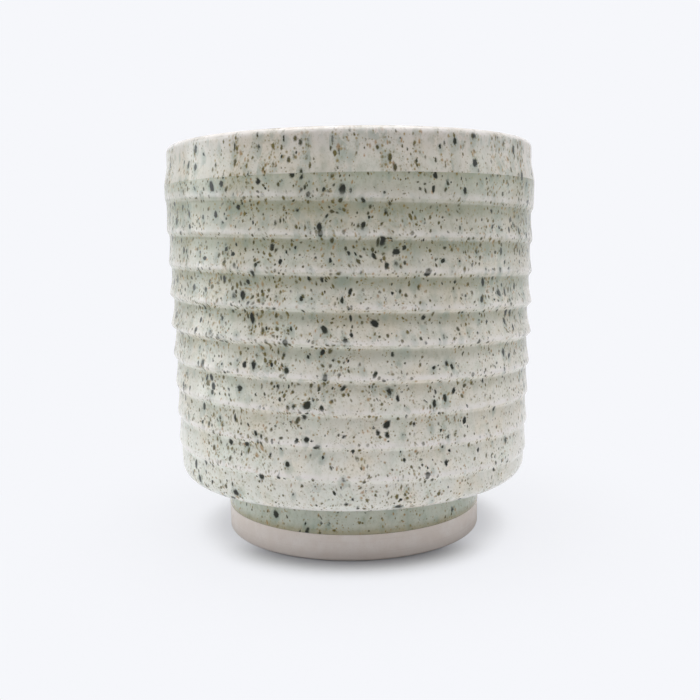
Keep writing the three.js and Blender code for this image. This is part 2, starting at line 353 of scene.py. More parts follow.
@dataclass(frozen=True)
class SpeckledGlaze:
    """A satin glaze full of iron specks, thin and pale over crests and greener where it pools.

    How thin the glaze is goes from 0 in a groove to 1 on a crest. Lengths are in millimetres.

    Attributes:
        zone: Where on the bowl it lies.
        middle_tone: Its colour between thin and thick places.
        runs: Where it bleeds.
        drifts: How its specks gather, as a factor on how many show.
        layers: Its specks, from the finest up.
        tints: Tints towards its edges.
        thin_edge_and_highlight: Heights between which the glaze thins and pales towards an edge, where it
            has such an edge; on the lip this is partly a painted highlight.
        lean: How far specks lean and draw out.
        veil: How much of a speck the thin glaze on a crest hides.
        thin_tone: Colour where the glaze is thin.
        pooled_tone: Colour where it is thick.
        stains: Tints that cloud it.
        roughness: Of its surface.
        speck_roughness: How much rougher a speck is.
        gloss: How strongly it mirrors what stands round it.
        even_coat: How thin an even coat is.
        edge_coat: How thin it is where a thin edge begins.
        pooling: How thin it is from full pools to none.
        thinning: How thin it is from the first pale streaks to full ones.
        veiling: How thin it is from bare specks to veiled ones.
        bleed_limit: How thin it is where nothing bleeds any more.
        pools_up: Factors on the wall's pools at its foot and at its shoulder.
        streaks_up: The same for its pale streaks.
        runs_up: The same for its runs.
        lean_scale: How often specks change their lean, for each millimetre.
        left_to_right: Places across the bowl between which specks get fewer.
        crowding: Factors on how many show there.
        cool_side: Places across the bowl between which it gets cooler.
        cool_share: How much cooler it gets.
    """

    zone: GlazeZone
    middle_tone: Colour = srgb(233, 228, 217)
    runs: Clouding = BLEED_RUNS
    drifts: Clouding = SPECK_DRIFTS
    layers: tuple[SpeckLayer, ...] = (DUST_SPECKS, RUST_SPECKS, OLIVE_SPECKS, GREEN_SPECKS, BLACK_SPECKS)
    tints: tuple[HeightTint, ...] = ()
    thin_edge_and_highlight: Optional[Span] = None
    lean: float = 2.6
    veil: float = 0.4
    thin_tone: Colour = srgb(250, 244, 240)
    pooled_tone: Colour = srgb(175, 174, 153)
    stains: tuple[Stain, ...] = (
        Stain(BLUSH_CLOUDS, srgb(255, 250, 243)),
        Stain(LEAF_CLOUDS, LEAF_TINT),
        Stain(GREEN_MOTTLE, srgb(208, 214, 202)),
        Stain(OLIVE_STIPPLE, srgb(210, 204, 182)),
    )
    roughness: float = 0.16
    speck_roughness: float = 0.12
    gloss: float = 0.28
    even_coat: float = 0.4
    edge_coat: float = 0.55
    pooling: Span = (0.0, 0.34)
    thinning: Span = (0.6, 0.97)
    veiling: Span = (0.7, 1.0)
    bleed_limit: float = 1.15
    pools_up: Span = (0.1, 1.0)
    streaks_up: Span = (1.0, 0.6)
    runs_up: Span = (0.3, 1.1)
    lean_scale: float = 1 / 5
    left_to_right: Span = (-42.0, 30.0)
    crowding: Span = (1.45, 1.25)
    cool_side: Span = (0.0, -38.0)
    cool_share: float = 0.3

    def crest(self, sketch: MaterialSketch) -> Any:
        """Tells how thin the glaze is.

        Args:
            sketch: The material.

        Returns:
            Its level, which the throwing spiral has marked on the wall.
        """
        if self.zone is GlazeZone.WALL:
            return sketch.add("ShaderNodeAttribute", attribute_name=CREST).outputs["Fac"]
        # Towards an edge the glaze thins and pales; on the lip this is partly a painted highlight.
        if self.thin_edge_and_highlight:
            return sketch.smoothstep(sketch.axes[2], *self.thin_edge_and_highlight, self.edge_coat, 1.0)
        return self.even_coat

    def up_wall(self, sketch: MaterialSketch, share: Any, factors: Span) -> Any:
        """Changes a share with height, on the wall alone.

        Args:
            sketch: The material.
            share: What is changed.
            factors: Its factors at the foot of the wall and at its shoulder.

        Returns:
            The changed share.
        """
        if self.zone is not GlazeZone.WALL:
            return share
        return sketch.math("MULTIPLY", share, sketch.by_height(*factors))

    def ground(self, sketch: MaterialSketch, crest: Any) -> Socket:
        """Draws the glaze with its tints, pools and clouds.

        Args:
            sketch: The material.
            crest: How thin the glaze is.

        Returns:
            Its colour.
        """
        colour: Any = self.middle_tone
        for tint in self.tints:
            colour = tint.draw(sketch, colour)
        pools = self.up_wall(sketch, sketch.smoothstep(crest, *self.pooling, 1.0, 0.0), self.pools_up)
        colour = sketch.blend(pools, colour, self.pooled_tone)
        for stain in self.stains:
            colour = stain.draw(sketch, colour)
        cool = sketch.smoothstep(sketch.axes[0], *self.cool_side, 0.0, self.cool_share)
        return sketch.blend(cool, colour, LEAF_TINT, "MULTIPLY")

    def coat(self, sketch: MaterialSketch, crest: Any) -> Socket:
        """Draws the glaze without its specks, with pale streaks on crests and runs where it is thick.

        Args:
            sketch: The material.
            crest: How thin the glaze is.

        Returns:
            Its colour.
        """
        thin = sketch.math("MULTIPLY", sketch.smoothstep(crest, *self.thinning), THIN_STREAKS.share(sketch))
        thin = self.up_wall(sketch, thin, self.streaks_up)
        colour = sketch.blend(thin, self.ground(sketch, crest), self.thin_tone)
        runs = self.up_wall(sketch, self.runs.share(sketch), self.runs_up)
        thick = sketch.math("SUBTRACT", self.bleed_limit, crest, clamp=True)
        return sketch.blend(sketch.math("MULTIPLY", runs, thick), colour, BLEED_TONE)

    def speckle(self, sketch: MaterialSketch, crest: Any, colour: Any) -> tuple[Socket, Socket]:
        """Lays the specks over the glaze, in loose drifts.

        Args:
            sketch: The material.
            crest: How thin the glaze is.
            colour: The glaze.

        Returns:
            The speckled colour, and how much of a speck covers each place.
        """
        crowding = sketch.smoothstep(sketch.axes[0], *self.left_to_right, *self.crowding)
        density = sketch.math("MULTIPLY", self.drifts.share(sketch), crowding)
        place = sketch.stray(sketch.place, self.lean_scale, self.lean)
        seen = sketch.smoothstep(crest, *self.veiling, 1.0, 1 - self.veil)
        cover_all: Any = 0.0
        for layer in (BLEED_HALOS, *self.layers):
            cover, tone = layer.draw(sketch, place, density)
            cover = sketch.math("MULTIPLY", cover, seen)
            colour = sketch.blend(cover, colour, tone)
            cover_all = sketch.math("MAXIMUM", cover, cover_all)
        return colour, cover_all

    def material(self) -> bpy.types.Material:
        """Builds the finish.

        Returns:
            The material.
        """
        sketch = MaterialSketch(f"speckled_glaze_{self.zone.value}")
        crest = self.crest(sketch)
        colour, cover = self.speckle(sketch, crest, self.coat(sketch, crest))
        relief = sketch.math("MULTIPLY_ADD", cover, 0.5, GLAZE_SKIN.level(sketch))
        sketch.feed(sketch.shader, {
            "Base Color": colour,
            "Roughness": sketch.math("MULTIPLY_ADD", cover, self.speck_roughness, self.roughness),
            "Specular IOR Level": self.gloss,
            "Normal": sketch.bump(relief, strength=0.12, depth=0.15 * MM),
        })
        return sketch.material


@dataclass(frozen=True)
class BareClay:
    """Fired stoneware without glaze: matt, warm grey, with fine turning lines.

    Attributes:
        name: The material's name.
        tone: Its main colour.
        dust_tone: A paler tint in its clouds.
        grog_tone: Its fine grains and lines.
        painted_contact_shade: Its lowest edge, darkened towards the table as painted shade for the contact
            shadow there.
        clouds: Where the paler tint lies.
        grains: Where the grains are.
        lines: The turning lines.
        roughness: Of its surface.
    """

    name: str
    tone: Colour = srgb(230, 218, 210)
    dust_tone: Colour = srgb(237, 228, 222)
    grog_tone: Colour = srgb(210, 195, 186)
    # Painted shade: the clay darkens towards its lowest edge, for the contact shadow where the foot meets
    # the table.
    painted_contact_shade: HeightTint = HeightTint(3.2, 0.4, 0.5, srgb(206, 193, 184))
    clouds: Clouding = Clouding(scale=0.22, low=0.35, high=0.7, detail=4.0, roughness=0.6)
    grains: Clouding = Clouding(scale=4.5, low=0.56, high=0.75, full=0.5, roughness=0.7)
    lines: Clouding = Clouding(scale=1.0, low=0.55, high=0.75, full=0.28, detail=3.0, roughness=0.6,
                               across=0.03, upright=2.6)
    roughness: float = 0.78

    def material(self) -> bpy.types.Material:
        """Builds the finish.

        Returns:
            The material.
        """
        sketch = MaterialSketch(self.name)
        colour = sketch.blend(self.clouds.share(sketch), self.tone, self.dust_tone)
        for pattern in (self.grains, self.lines):
            colour = sketch.blend(pattern.share(sketch), colour, self.grog_tone)
        relief = sketch.math("MULTIPLY_ADD", self.grains.level(sketch), 0.5, self.lines.level(sketch))
        sketch.feed(sketch.shader, {
            # The lowest edge carries painted shade for the contact shadow.
            "Base Color": self.painted_contact_shade.draw(sketch, colour),
            "Roughness": self.roughness,
            "Normal": sketch.bump(relief, strength=0.25, depth=0.1 * MM),
        })
        return sketch.material


def arc(centre: Point, radius: float, start: float, end: float, steps: int) -> Profile:
    """Gives points on a round stretch of a profile, from one angle in degrees to another."""
    angles = np.radians(np.linspace(start, end, steps + 1))
    return [(centre[0] + radius * math.cos(a), centre[1] + radius * math.sin(a)) for a in angles]


def straight(start: Point, end: Point, step: float) -> Profile:
    """Gives points on a straight stretch of a profile, at most a step apart, without its last point."""
    count = max(1, math.ceil(math.dist(start, end) / step))
    return [tuple(np.array(start) + (np.array(end) - np.array(start)) * i / count) for i in range(count)]


def turned_mesh(name: str, profile: Profile, columns: int, crease_degrees: float = 35.0) -> bpy.types.Mesh:
    """Turns a profile round the bowl's axis into a closed mesh.

    Args:
        name: The mesh's name.
        profile: Points that close on themselves, or that start and end on the axis.
        columns: How many facets go round.
        crease_degrees: A corner of the profile sharper than this stays a crisp edge.

    Returns:
        The mesh, smooth apart from its creases.
    """
    points = np.array(profile)
    on_axis = points[:, 0] < 1e-9
    angles = np.linspace(0, 2 * math.pi, columns, endpoint=False)
    vertices: list[tuple[float, float, float]] = []
    rings: list[list[int]] = []
    for (radius, height), pole in zip(points, on_axis):
        first = len(vertices)
        if pole:
            vertices.append((0.0, 0.0, height))
            rings.append([first] * columns)
        else:
            vertices.extend((radius * math.sin(a), -radius * math.cos(a), height) for a in angles)
            rings.append(list(range(first, first + columns)))
    pairs = list(zip(rings, rings[1:]))
    if not on_axis.any():
        pairs.append((rings[-1], rings[0]))
    faces = []
    for low, high in pairs:
        for column in range(columns):
            after = (column + 1) % columns
            faces.append(tuple(dict.fromkeys((low[column], low[after], high[after], high[column]))))
    mesh = bpy.data.meshes.new(name)
    mesh.from_pydata(vertices, [], faces)
    mesh.shade_smooth()
    mesh.set_sharp_from_angle(angle=math.radians(crease_degrees))
    mesh.validate()
    return mesh


def add_object(name: str, data: Any) -> bpy.types.Object:
    """Puts a mesh, a lamp or a camera into the scene.

    Args:
        name: The object's name.
        data: What it shows.

    Returns:
        The new object, at the origin.
    """
    thing = bpy.data.objects.new(name, data)
    bpy.context.scene.collection.objects.link(thing)
    return thing


@dataclass(frozen=True)
class BowlSizes:
    """The bowl's sizes in metres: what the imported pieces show, and what shapes the stretches between."""

    rim_height: float
    dip_line: float
    base_height: float
    shoulder_radius: float
    liner_bottom: float
    foot_radius: float
    foot_top: float
    foot_glaze_radius: float
    glaze_line: float
    shoulder_flare: float = 0.75 * MM
    shoulder_taper: float = 4.5 * MM
    wall_taper: float = 1.9 * MM
    corner_radius: float = 3.6 * MM
    lip_radius: float = 1.4 * MM
    base_wall: float = 5.2 * MM
    inside_corner: float = 10 * MM
    foot_width: float = 5.4 * MM
    foot_edge: float = 0.6 * MM
    coat: float = 0.4 * MM
    first_crest_drop: float = 13.1 * MM
    ridge_margin: float = 1 * MM

    @classmethod
    def packed(cls) -> "BowlSizes":
        """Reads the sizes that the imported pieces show.

        Returns:
            All the bowl's sizes.
        """
        wall, foot, foot_glaze = (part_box(node) for node in ("outer_glaze", "foot_ring", "foot_glaze"))
        return cls(
            rim_height=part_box("rim_glaze")[1].z,
            dip_line=wall[1].z,
            base_height=wall[0].z,
            shoulder_radius=wall[1].x,
            liner_bottom=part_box("liner_glaze")[0].z,
            foot_radius=foot[1].x,
            foot_top=foot[1].z,
            foot_glaze_radius=foot_glaze[1].x,
            glaze_line=foot_glaze[0].z,
        )

    @property
    def rim_radius(self) -> float:
        """Radius of the glazed lip's outside."""
        return self.shoulder_radius - self.shoulder_flare

    @property
    def base_radius(self) -> float:
        """Radius of the glazed wall just above its lower corner."""
        return self.shoulder_radius - self.wall_taper

    @property
    def ridge_base(self) -> float:
        """Height at which the ridged wall meets the lower corner."""
        return self.base_height + self.corner_radius

    @property
    def corner_centre(self) -> Point:
        """Centre of the lower corner's round, as radius and height."""
        return (self.base_radius - self.corner_radius, self.ridge_base)

    @property
    def floor_top(self) -> float:
        """Height of the glazed floor inside."""
        return self.liner_bottom + self.coat

    @property
    def lip_centre(self) -> Point:
        """Centre of the lip's round, as radius and height."""
        return (self.rim_radius - self.lip_radius, self.rim_height - self.lip_radius)

    @property
    def inside_base(self) -> Point:
        """Where the inside wall meets its lower corner, as radius and height."""
        return (self.base_radius - self.base_wall, self.floor_top + self.inside_corner)

    @property
    def inside_centre(self) -> Point:
        """Centre of the inside corner's round, as radius and height."""
        return (self.inside_base[0] - self.inside_corner, self.inside_base[1])

    @property
    def foot_seat_radius(self) -> float:
        """Radius of the clay behind the glaze on the foot."""
        return self.foot_glaze_radius - self.coat

    @property
    def inside_top(self) -> Point:
        """Where the inside wall, which is straight up to the lip, passes the dip line.

        Returns:
            The place, as radius and height.
        """
        base_radius, base_height = self.inside_base
        lip_radius = self.lip_centre[0] - self.lip_radius
        share = (self.dip_line - base_height) / (self.lip_centre[1] - base_height)
        return (base_radius + (lip_radius - base_radius) * share, self.dip_line)


@dataclass(frozen=True)
class ThrowingSpiral:
    """The rule of the ridged wall: one spiral groove that a potter's finger drew down the turning clay.

    Attributes:
        first_crest: Height of the first crest, at the front.
        top: Height of the ridged wall's upper end.
        base: Height of its lower end.
        inner_limit: Points nearer the axis than this stay as they are.
        top_pitch: Distance between crests at the top.
        base_pitch: Distance between crests at the base.
        groove_start: Where the groove starts, in turns from the front.
        groove_full: Where it has its full depth.
        depth: Depth of an ordinary ridge.
        deep_extra: How much deeper the deepest ridges are.
        deep_height: Where these are.
        deep_spread: How far round that height they reach.
        swell: How far the deepest ridges' crests stand out.
        undercut: Share of a turn over which the wall steps in under a crest.
        flare: How hollow the wall is from there out to the next crest.
        fade: Height over which ridges run out at the base.
        wander: How far the hand strays from an even spiral, in turns.
        wander_swings: How often it does, for each metre.
        uneven: How far the depth varies round the wall.
        uneven_swings: How often it does.
        wobble: How far the wall strays from a true circle.
        wobble_swings: How often it does.
        rounding: How many times the section is smoothed.
        seed: Picks the hand's unevenness.
    """

    first_crest: float
    top: float
    base: float
    inner_limit: float
    top_pitch: float = 7.3 * MM
    base_pitch: float = 6.6 * MM
    groove_start: float = -0.6
    groove_full: float = 0.15
    depth: float = 0.55 * MM
    deep_extra: float = 0.6 * MM
    deep_height: float = 50 * MM
    deep_spread: float = 9 * MM
    swell: float = 0.35 * MM
    undercut: float = 0.18
    flare: float = 1.7
    fade: float = 4 * MM
    wander: float = 0.06
    wander_swings: float = 30.0
    uneven: float = 0.3
    uneven_swings: float = 45.0
    wobble: float = 0.12 * MM
    wobble_swings: float = 22.0
    rounding: int = 4
    seed: float = 4.0

    def press(self, piece: bpy.types.Object, finish: bpy.types.Material) -> None:
        """Presses the spiral into a piece and leaves a plain mesh with its finish.

        Args:
            piece: The turned piece.
            finish: Its material.
        """
        tree = SpiralSketch().tree
        modifier = piece.modifiers.new("throwing_spiral", "NODES")
        modifier.node_group = tree
        values = {**asdict(self), "finish": finish}
        for socket in tree.interface.items_tree:
            if socket.name in values:
                modifier[socket.identifier] = values[socket.name]
        graph = bpy.context.evaluated_depsgraph_get()
        pressed = bpy.data.meshes.new_from_object(piece.evaluated_get(graph), depsgraph=graph)
        piece.modifiers.remove(modifier)
        piece.data = pressed


class SpiralSketch(NodeSketch):
    """The node tree that presses the spiral into a turned mesh, with an input for each of its sizes."""

    def __init__(self) -> None:
        """Makes the tree's inputs, the nodes that read them, and the rest down to its output."""
        super().__init__(bpy.data.node_groups.new("throwing_spiral", "GeometryNodeTree"))
        sizes = {size.name: "Int" if size.type is int else "Float" for size in fields(ThrowingSpiral)}
        for name, kind in {"Geometry": "Geometry", **sizes, "finish": "Material"}.items():
            self.tree.interface.new_socket(name, in_out="INPUT", socket_type=f"NodeSocket{kind}")
        self.tree.interface.new_socket("Geometry", in_out="OUTPUT", socket_type="NodeSocketGeometry")
        self.given = self.add("NodeGroupInput").outputs
        self.place = self.add("GeometryNodeInputPosition").outputs[0]
        self.axes = self.add("ShaderNodeSeparateXYZ", {0: self.place}).outputs
        rise, strength = self.section()
        push = self.push(self.offset(rise, strength))
        mark = {"Geometry": self.given["Geometry"], "Name": CREST, "Value": self.smoothed(rise)}
        marked = self.add("GeometryNodeStoreNamedAttribute", mark).outputs[0]
        pressed = self.add("GeometryNodeSetPosition", {"Geometry": marked, "Offset": push}).outputs[0]
        plain = self.add("GeometryNodeRealizeInstances", {0: pressed}).outputs[0]
        done = self.add("GeometryNodeSetMaterial", {"Geometry": plain, "Material": self.given["finish"]})
        self.add("NodeGroupOutput", {0: done.outputs[0]})

    def smoothed(self, value: Any) -> Socket:
        """Rounds off a value over the wall, as wet clay does."""
        inputs = {"Value": value, "Iterations": self.given["rounding"]}
        return self.add("GeometryNodeBlurAttribute", inputs).outputs[0]

    def hand(self, kind: str) -> Socket:
        """Gives a slow unevenness, as a hand leaves it.

        Args:
            kind: The size that says how far it swings, beside one that says how often.

        Returns:
            The unevenness, round 0.
        """
        given = self.given
        inputs = {"Vector": self.place, "W": given["seed"], "Scale": given[f"{kind}_swings"], "Detail": 1.0}
        noise = self.add("ShaderNodeTexNoise", inputs, noise_dimensions="4D").outputs["Fac"]
        return self.math("MULTIPLY", self.math("SUBTRACT", noise, 0.5), given[kind])

    def section(self) -> tuple[Socket, Socket]:
        """Draws a ridge's section: a quick step in under the crest, then a hollow flare to the next.

        Returns:
            How near a point is to a crest, and how deep the groove is there, both from 0 to 1.
        """
        x, y, z = self.axes
        given = self.given
        turn = self.math("DIVIDE", self.math("ARCTAN2", x, self.math("MULTIPLY", y, -1.0)), 2 * math.pi)
        drop = self.math("SUBTRACT", given["first_crest"], z)
        rate = self.math("DIVIDE", 1.0, given["top_pitch"])
        gain = self.math("SUBTRACT", self.math("DIVIDE", 1.0, given["base_pitch"]), rate)
        span = self.math("SUBTRACT", given["first_crest"], given["base"])
        gain = self.math("DIVIDE", gain, self.math("MULTIPLY", span, 2.0))
        pace = self.math("MULTIPLY_ADD", gain, drop, rate)
        turns = self.math("SUBTRACT", self.math("MULTIPLY_ADD", pace, drop, self.hand("wander")), turn)
        phase = self.math("FRACT", turns)
        step = self.smoothstep(phase, 0.0, given["undercut"], 1.0, 0.0)
        room = self.math("SUBTRACT", 1.0, given["undercut"])
        out = self.math("DIVIDE", self.math("SUBTRACT", phase, given["undercut"]), room, clamp=True)
        rise = self.math("MAXIMUM", step, self.math("POWER", out, given["flare"]))
        low = self.smoothstep(self.math("SUBTRACT", z, given["base"]), 0.0, given["fade"])
        wound = self.math("ADD", self.math("FLOOR", turns), turn)
        strength = self.smoothstep(wound, given["groove_start"], given["groove_full"])
        return self.math("MULTIPLY", rise, low), strength

    def offset(self, rise: Any, strength: Any) -> Socket:
        """Works out how far a point of the wall moves in or out.

        Args:
            rise: How near it is to a crest.
            strength: How deep the groove is there.

        Returns:
            The distance, positive outwards.
        """
        z = self.axes[2]
        given = self.given
        away = self.math("DIVIDE", self.math("SUBTRACT", z, given["deep_height"]), given["deep_spread"])
        deep = self.math("EXPONENT", self.math("MULTIPLY", self.math("MULTIPLY", away, away), -1.0))
        depth = self.math("MULTIPLY_ADD", deep, given["deep_extra"], given["depth"])
        uneven = self.math("ADD", self.hand("uneven"), 1.0)
        depth = self.math("MULTIPLY", self.math("MULTIPLY", depth, uneven), strength)
        groove = self.math("MULTIPLY", depth, self.math("SUBTRACT", rise, 1.0))
        height = self.math("SUBTRACT", given["top"], given["base"])
        share = self.math("DIVIDE", self.math("SUBTRACT", given["top"], z), height, clamp=True)
        crest_line = self.math("MULTIPLY", share, given["depth"])
        crest_line = self.math("MULTIPLY_ADD", deep, given["swell"], crest_line)
        return self.math("ADD", crest_line, groove)

    def push(self, offset: Any) -> Socket:
        """Turns the distance into a move straight out from the axis, on the outside alone.

        Args:
            offset: The distance, positive outwards.

        Returns:
            The move.
        """
        x, y, _ = self.axes
        radius = self.math("SQRT", self.math("MULTIPLY_ADD", x, x, self.math("MULTIPLY", y, y)))
        outside = self.math("GREATER_THAN", radius, self.given["inner_limit"])
        total = self.math("ADD", self.smoothed(offset), self.hand("wobble"))
        off_axis = self.math("MAXIMUM", radius, 1 * MM)
        grow = self.math("DIVIDE", self.math("MULTIPLY", total, outside), off_axis)
        across = self.add("ShaderNodeCombineXYZ", {0: x, 1: y}).outputs[0]
        return self.vector("MULTIPLY", across, grow)


@dataclass
class TurnedPiece(ABC):
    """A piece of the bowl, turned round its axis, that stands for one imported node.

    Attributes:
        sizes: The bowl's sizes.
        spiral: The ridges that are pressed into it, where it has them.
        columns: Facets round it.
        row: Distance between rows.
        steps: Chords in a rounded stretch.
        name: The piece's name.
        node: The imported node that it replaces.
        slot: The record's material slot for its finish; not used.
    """

    sizes: BowlSizes
    spiral: Optional[ThrowingSpiral] = None
    columns: int = 192
    row: float = 0.4 * MM
    steps: int = 6
    name: ClassVar[str]
    node: ClassVar[str]
    slot: ClassVar[str]

    @abstractmethod
    def profile(self) -> Profile:
        """Gives the section that is turned, before any spiral is pressed in."""

    def build(self, finish: bpy.types.Material) -> bpy.types.Object:
        """Turns the piece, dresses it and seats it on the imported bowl.

        Args:
            finish: Its material.

        Returns:
            The finished piece.
        """
        piece = add_object(self.name, turned_mesh(self.name, self.profile(), self.columns))
        if self.spiral:
            self.spiral.press(piece, finish)
        else:
            piece.data.materials.append(finish)
        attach(piece, BODY)
        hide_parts(self.node)
        LOG.info("%s stands for %s with %d faces", piece.name, self.node, len(piece.data.polygons))
        return piece


@dataclass
class ClayCore(TurnedPiece):
    """The clay inside the coats, which shows only in the well under the foot."""

    columns: int = 96
    row: float = 1.0 * MM
    steps: int = 12
    gap: float = 0.05 * MM
    name: ClassVar[str] = "clay_core"
    node: ClassVar[str] = "thrown_body"
    slot: ClassVar[str] = "body_clay"

    def profile(self) -> Profile:
        """Gives the clay's section, a gap away from the coats.

        Returns:
            The section, from the axis underneath to the axis inside.
        """
        s = self.sizes
        inset = s.coat + self.gap
        corner = arc(s.corner_centre, s.corner_radius - inset, -90, 0, self.steps)
        shoulder = (s.shoulder_radius - inset, s.dip_line)
        return [
            *straight((0.0, s.base_height + inset), corner[0], self.row),
            *corner[:-1],
            *straight(corner[-1], shoulder, self.row),
            shoulder,
            (s.rim_radius - inset, s.dip_line + s.shoulder_taper),
            *arc(s.lip_centre, s.lip_radius - inset, 0, 180, self.steps),
            *arc(s.inside_centre, s.inside_corner + inset, 0, -90, self.steps),
            (0.0, s.floor_top - inset),
        ]


@dataclass
class GlazedWall(TurnedPiece):
    """The speckled coat on the ridged wall, the lower corner and the underside.

    Attributes:
        back_row: Distance between rows against the clay.
        under_row: Distance between rows on the underside.
    """

    row: float = 0.19 * MM
    steps: int = 14
    back_row: float = 0.8 * MM
    under_row: float = 1.0 * MM
    name: ClassVar[str] = "glazed_wall"
    node: ClassVar[str] = "outer_glaze"
    slot: ClassVar[str] = "speckled_glaze"

    def profile(self) -> Profile:
        """Gives the coat's closed section.

        Returns:
            The section, from the underside up the outside and back down against the clay.
        """
        s = self.sizes
        front = arc(s.corner_centre, s.corner_radius, -90, 0, self.steps)
        back = arc(s.corner_centre, s.corner_radius - s.coat, 0, -90, self.steps)
        return [
            *straight((s.foot_seat_radius, s.base_height), front[0], self.under_row),
            *front[:-1],
            *straight(front[-1], (s.shoulder_radius, s.dip_line), self.row),
            (s.shoulder_radius, s.dip_line),
            *straight((s.shoulder_radius - s.coat, s.dip_line), back[0], self.back_row),
            *back,
            (s.foot_seat_radius, s.base_height + s.coat),
        ]


@dataclass
class RimBand(TurnedPiece):
    """The band over the lip that was dipped a second time."""

    steps: int = 20
    name: ClassVar[str] = "rim_band"
    node: ClassVar[str] = "rim_glaze"
    slot: ClassVar[str] = "rim_band_glaze"

    def line(self, inset: float) -> Profile:
        """Gives the band's line up the outside, over the lip and down the inside.

        Args:
            inset: Depth below the glazed surface.

        Returns:
            The line.
        """
        s = self.sizes
        straight_base = s.dip_line + s.shoulder_taper
        taper = []
        for height in np.arange(s.dip_line, straight_base, self.row):
            share = (straight_base - height) / s.shoulder_taper
            # Half an S-curve and half a straight line, so that the taper meets the wall at a slight angle.
            ease = share * share * (3 - 2 * share) * 0.5 + share * 0.5
            taper.append((s.rim_radius + s.shoulder_flare * ease - inset, float(height)))
        lip = arc(s.lip_centre, s.lip_radius - inset, 0, 180, self.steps)
        end = (s.inside_top[0] + inset, s.dip_line)
        return [
            *taper,
            *straight((s.rim_radius - inset, straight_base), lip[0], self.row),
            *lip[:-1],
            *straight(lip[-1], end, self.row),
            end,
        ]

    def profile(self) -> Profile:
        """Gives the band's closed section."""
        return [*self.line(0.0), *reversed(self.line(self.sizes.coat))]


@dataclass
class InsideLiner(TurnedPiece):
    """The coat inside the bowl."""

    columns: int = 160
    row: float = 0.5 * MM
    steps: int = 24
    name: ClassVar[str] = "inside_liner"
    node: ClassVar[str] = "liner_glaze"
    slot: ClassVar[str] = "liner_glaze"

    def line(self, inset: float) -> Profile:
        """Gives the liner's line down the wall and in to the axis.

        Args:
            inset: Depth below the glazed surface.

        Returns:
            The line.
        """
        s = self.sizes
        corner = arc(s.inside_centre, s.inside_corner + inset, 0, -90, self.steps)
        middle = (0.0, s.floor_top - inset)
        return [
            *straight((s.inside_top[0] + inset, s.dip_line), corner[0], self.row),
            *corner[:-1],
            *straight(corner[-1], middle, self.row),
            middle,
        ]

    def profile(self) -> Profile:
        """Gives the liner's section, from the axis underneath to the axis inside."""
        return [*reversed(self.line(self.sizes.coat)), *self.line(0.0)]


@dataclass
class FootRing(TurnedPiece):
    """The bare clay foot."""

    name: ClassVar[str] = "foot_clay"
    node: ClassVar[str] = "foot_ring"
    slot: ClassVar[str] = "foot_clay"

    def profile(self) -> Profile:
        """Gives the ring's closed section, with the step that the glaze fills.

        Returns:
            The section, from the well across the table and up the outside.
        """
        s = self.sizes
        well = s.foot_radius - s.foot_width
        inside_edge = arc((well + s.foot_edge, s.foot_edge), s.foot_edge, 180, 270, self.steps)
        outside_edge = arc((s.foot_radius - s.foot_edge, s.foot_edge), s.foot_edge, -90, 0, self.steps)
        return [
            *inside_edge[:-1],
            *straight(inside_edge[-1], outside_edge[0], self.row),
            *outside_edge[:-1],
            *straight(outside_edge[-1], (s.foot_radius, s.glaze_line), self.row),
            (s.foot_radius, s.glaze_line),
            (s.foot_seat_radius, s.glaze_line),
            (s.foot_seat_radius, s.foot_top),
            *straight((well, s.foot_top), inside_edge[0], self.row),
        ]


@dataclass
class FootBand(TurnedPiece):
    """The glaze that runs down onto the foot, with a rounded bead as its lower edge."""

    bead: float = 0.25 * MM
    name: ClassVar[str] = "foot_band"
    node: ClassVar[str] = "foot_glaze"
    slot: ClassVar[str] = "foot_band_glaze"

    def profile(self) -> Profile:
        """Gives the band's closed section.

        Returns:
            The section, from the bead up the outside.
        """
        s = self.sizes
        centre = (s.foot_glaze_radius - self.bead, s.glaze_line + self.bead)
        edge = arc(centre, self.bead, -90, 0, self.steps)
        return [
            (s.foot_seat_radius, s.glaze_line),
            *edge[:-1],
            *straight(edge[-1], (s.foot_glaze_radius, s.base_height), self.row),
            (s.foot_glaze_radius, s.base_height),
            (s.foot_seat_radius, s.base_height),
        ]


